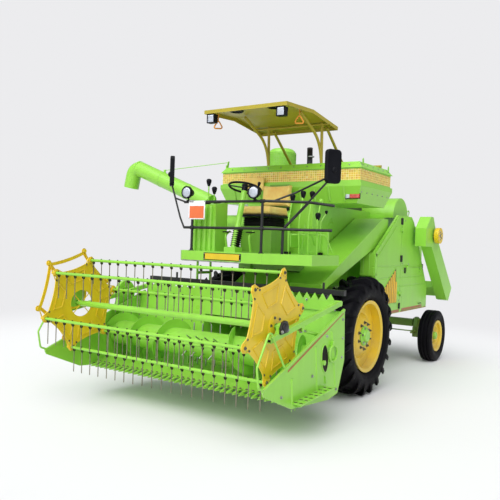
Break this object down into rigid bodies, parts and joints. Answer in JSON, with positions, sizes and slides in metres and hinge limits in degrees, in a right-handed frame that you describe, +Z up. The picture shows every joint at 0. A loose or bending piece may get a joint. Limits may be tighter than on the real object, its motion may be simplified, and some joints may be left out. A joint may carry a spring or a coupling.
{
  "type": "combine_harvester",
  "caption": "Self-propelled combine harvester with a reel header, open roofed platform, grain tank, unloading auger and rear-wheel steering",
  "frame": {"origin": "middle of the bounding box at ground level", "axes": "+X is forward, +Y is the machine's left, +Z is up"},
  "size_m": [6.653, 4.7668, 3.53],
  "materials": {
    "black_tyre": "dusty black rubber with a deep tread",
    "yellow_paint": "yolk-yellow machine paint, slightly glossy",
    "green_paint": "fresh lime-green machine paint, satin",
    "black_paint": "black paint, satin",
    "dark_iron": "dark engine paint over cast iron",
    "scorched_steel": "heat-browned steel",
    "bare_steel": "worn bare steel",
    "wheel_plastic": "matt black moulded plastic",
    "seat_vinyl": "yellow-orange seat cover, soft"
  },
  "bodies": {
    "machine": {"front_axle": "green_paint", "rear_axle_beam": "green_paint", "thresher_body": "green_paint", "straw_hood": "green_paint", "straw_walkers": "bare_steel", "engine_block": "dark_iron", "cooling_housing": "green_paint", "exhaust_pipe": "scorched_steel", "grain_tank": "green_paint", "hand_rails": "black_paint", "steering_column": "green_paint", "seat_base": "green_paint", "seat_cushion": "seat_vinyl", "seat_backrest": "seat_vinyl", "control_levers": "black_paint", "canopy_roof": "yellow_paint", "canopy_posts": "yellow_paint", "lamps_and_mirrors": "black_paint", "slope_cover": "green_paint", "rear_side_panels": "green_paint", "chassis_frame": "green_paint", "conveyor_housings": "green_paint", "operator_platform": "green_paint"},
    "front_left_wheel": {"front_tyre_left": "black_tyre", "front_wheel_left": "yellow_paint"},
    "front_right_wheel": {"front_tyre_right": "black_tyre", "front_wheel_right": "yellow_paint"},
    "rear_left_wheel": {"rear_tyre_left": "black_tyre", "rear_wheel_left": "yellow_paint"},
    "rear_right_wheel": {"rear_tyre_right": "black_tyre", "rear_wheel_right": "yellow_paint"},
    "left_knuckle": {"steering_knuckle_left": "green_paint"},
    "right_knuckle": {"steering_knuckle_right": "green_paint"},
    "track_rod": {"tie_rod": "green_paint"},
    "driver_wheel": {"steering_wheel": "wheel_plastic"},
    "unloader": {"unloading_auger": "green_paint"},
    "left_door": {"left_front_door": "green_paint"},
    "right_door": {"right_front_door": "green_paint"},
    "left_flap": {"left_rear_flap": "green_paint"},
    "pulley": {"tailings_pulley": "yellow_paint"},
    "header": {"feeder_house": "green_paint", "header_shell": "green_paint", "header_rear_bar": "black_paint", "knife_bar": "bare_steel", "header_drive": "yellow_paint"},
    "cross_auger": {"header_auger": "green_paint"},
    "arms": {"reel_arms": "green_paint"},
    "reel": {"reel_frame": "yellow_paint"},
    "ring": {"control_ring": "yellow_paint"},
    "tines_1": {"tine_bar_1": "bare_steel"},
    "tines_2": {"tine_bar_2": "bare_steel"},
    "tines_3": {"tine_bar_3": "bare_steel"},
    "tines_4": {"tine_bar_4": "bare_steel"},
    "tines_5": {"tine_bar_5": "bare_steel"},
    "tines_6": {"tine_bar_6": "bare_steel"},
    "lift_cylinders": {"lift_barrels": "green_paint"},
    "lift_pistons": {"lift_rods": "bare_steel"},
    "reel_cylinders": {"reel_lift_barrels": "green_paint"},
    "reel_pistons": {"reel_lift_rods": "bare_steel"}
  },
  "joints": [
    {"name": "front_left_wheel_spin", "type": "hinge", "parent": "machine", "child": "front_left_wheel", "pos_m": [0.24354, 1.85344, 0.75], "axis": [0, 1, 0], "continuous": true},
    {"name": "front_right_wheel_spin", "type": "hinge", "parent": "machine", "child": "front_right_wheel", "pos_m": [0.24354, -0.14656, 0.75], "axis": [0, 1, 0], "continuous": true},
    {"name": "left_steer", "type": "hinge", "parent": "machine", "child": "left_knuckle", "pos_m": [-2.84646, 1.57344, 0.426], "axis": [0, 0, 1], "range_deg": [-35, 35]},
    {"name": "right_steer", "type": "hinge", "parent": "machine", "child": "right_knuckle", "pos_m": [-2.84646, 0.13344, 0.426], "axis": [0, 0, 1], "range_deg": [-35, 35]},
    {"name": "track_rod_swing", "type": "hinge", "parent": "left_knuckle", "child": "track_rod", "pos_m": [-2.60646, 1.57344, 0.495], "axis": [0, 0, 1], "range_deg": [-35.5, 35.5]},
    {"name": "rear_left_wheel_spin", "type": "hinge", "parent": "left_knuckle", "child": "rear_left_wheel", "pos_m": [-2.84646, 1.83844, 0.426], "axis": [0, 1, 0], "continuous": true},
    {"name": "rear_right_wheel_spin", "type": "hinge", "parent": "right_knuckle", "child": "rear_right_wheel", "pos_m": [-2.84646, -0.13156, 0.426], "axis": [0, 1, 0], "continuous": true},
    {"name": "steering_wheel_turn", "type": "hinge", "parent": "machine", "child": "driver_wheel", "pos_m": [1.39354, 0.82344, 2.54], "axis": [-0.2588, 0, 0.9659], "continuous": true},
    {"name": "unloader_swing", "type": "hinge", "parent": "machine", "child": "unloader", "pos_m": [0.22354, -0.59656, 2.29], "axis": [0, 0, 1], "range_deg": [-90, 0]},
    {"name": "left_door_swing", "type": "hinge", "parent": "machine", "child": "left_door", "pos_m": [-1.42146, 1.79044, 1.7], "axis": [0, 0, 1], "range_deg": [0, 90]},
    {"name": "right_door_swing", "type": "hinge", "parent": "machine", "child": "right_door", "pos_m": [-1.42146, -0.08356, 1.7], "axis": [0, 0, -1], "range_deg": [0, 90]},
    {"name": "left_flap_lift", "type": "hinge", "parent": "machine", "child": "left_flap", "pos_m": [-1.98646, 1.79044, 1.583], "axis": [1, 0, 0], "range_deg": [0, 85]},
    {"name": "pulley_spin", "type": "hinge", "parent": "machine", "child": "pulley", "pos_m": [-2.27646, 2.06344, 2.1], "axis": [0, 1, 0], "continuous": true},
    {"name": "header_lift", "type": "hinge", "parent": "machine", "child": "header", "pos_m": [0.66354, 0.85344, 1.28], "axis": [0, -1, 0], "range_deg": [-9, 16]},
    {"name": "cross_auger_spin", "type": "hinge", "parent": "header", "child": "cross_auger", "pos_m": [2.00354, 0.85344, 0.7], "axis": [0, 1, 0], "continuous": true},
    {"name": "reel_lift", "type": "hinge", "parent": "header", "child": "arms", "pos_m": [1.58354, 0.85344, 1.265], "axis": [0, -1, 0], "range_deg": [0, 16]},
    {"name": "reel_spin", "type": "hinge", "parent": "arms", "child": "reel", "pos_m": [2.76354, 0.85344, 1.12], "axis": [0, 1, 0], "continuous": true},
    {"name": "tine_bar_1_level", "type": "hinge", "parent": "reel", "child": "tines_1", "pos_m": [2.63966, 0.85344, 1.60957], "axis": [0, 1, 0], "continuous": true},
    {"name": "tine_bar_2_level", "type": "hinge", "parent": "reel", "child": "tines_2", "pos_m": [3.12558, 0.85344, 1.47207], "axis": [0, 1, 0], "continuous": true},
    {"name": "tine_bar_3_level", "type": "hinge", "parent": "reel", "child": "tines_3", "pos_m": [3.24946, 0.85344, 0.9825], "axis": [0, 1, 0], "continuous": true},
    {"name": "tine_bar_4_level", "type": "hinge", "parent": "reel", "child": "tines_4", "pos_m": [2.88742, 0.85344, 0.63043], "axis": [0, 1, 0], "continuous": true},
    {"name": "tine_bar_5_level", "type": "hinge", "parent": "reel", "child": "tines_5", "pos_m": [2.4015, 0.85344, 0.76793], "axis": [0, 1, 0], "continuous": true},
    {"name": "tine_bar_6_level", "type": "hinge", "parent": "reel", "child": "tines_6", "pos_m": [2.27762, 0.85344, 1.2575], "axis": [0, 1, 0], "continuous": true},
    {"name": "control_ring_spin", "type": "hinge", "parent": "arms", "child": "ring", "pos_m": [2.80854, -0.52056, 1.225], "axis": [0, 1, 0], "continuous": true},
    {"name": "lift_cylinder_swing", "type": "hinge", "parent": "machine", "child": "lift_cylinders", "pos_m": [0.38354, 0.85344, 0.6], "axis": [0, -1, 0], "range_deg": [-6.31, 11.14]},
    {"name": "lift_piston_travel", "type": "slide", "parent": "lift_cylinders", "child": "lift_pistons", "axis": [0.9998, 0, 0.0198], "range_m": [-0.10496, 0.1862]},
    {"name": "reel_cylinder_swing", "type": "hinge", "parent": "header", "child": "reel_cylinders", "pos_m": [2.04354, 0.85344, 0.98], "axis": [0, -1, 0], "range_deg": [-0.1, 27.78]},
    {"name": "reel_piston_travel", "type": "slide", "parent": "reel_cylinders", "child": "reel_pistons", "axis": [0.9749, 0, 0.2228], "range_m": [-0.0005, 0.12616]}
  ],
  "couplings": [
    {"joint": "right_steer", "follows": "left_steer", "ratio": 1},
    {"joint": "track_rod_swing", "follows": "left_steer", "ratio": -1},
    {"joint": "control_ring_spin", "follows": "reel_spin", "ratio": 1},
    {"joint": "tine_bar_1_level", "follows": "reel_spin", "ratio": -1},
    {"joint": "tine_bar_2_level", "follows": "reel_spin", "ratio": -1},
    {"joint": "tine_bar_3_level", "follows": "reel_spin", "ratio": -1},
    {"joint": "tine_bar_4_level", "follows": "reel_spin", "ratio": -1},
    {"joint": "tine_bar_5_level", "follows": "reel_spin", "ratio": -1},
    {"joint": "tine_bar_6_level", "follows": "reel_spin", "ratio": -1},
    {"joint": "lift_cylinder_swing", "follows": "header_lift", "ratio": 0.69},
    {"joint": "lift_piston_travel", "follows": "header_lift", "m_per_rad": 0.665},
    {"joint": "reel_cylinder_swing", "follows": "reel_lift", "ratio": 1.73},
    {"joint": "reel_piston_travel", "follows": "reel_lift", "m_per_rad": 0.45}
  ]
}
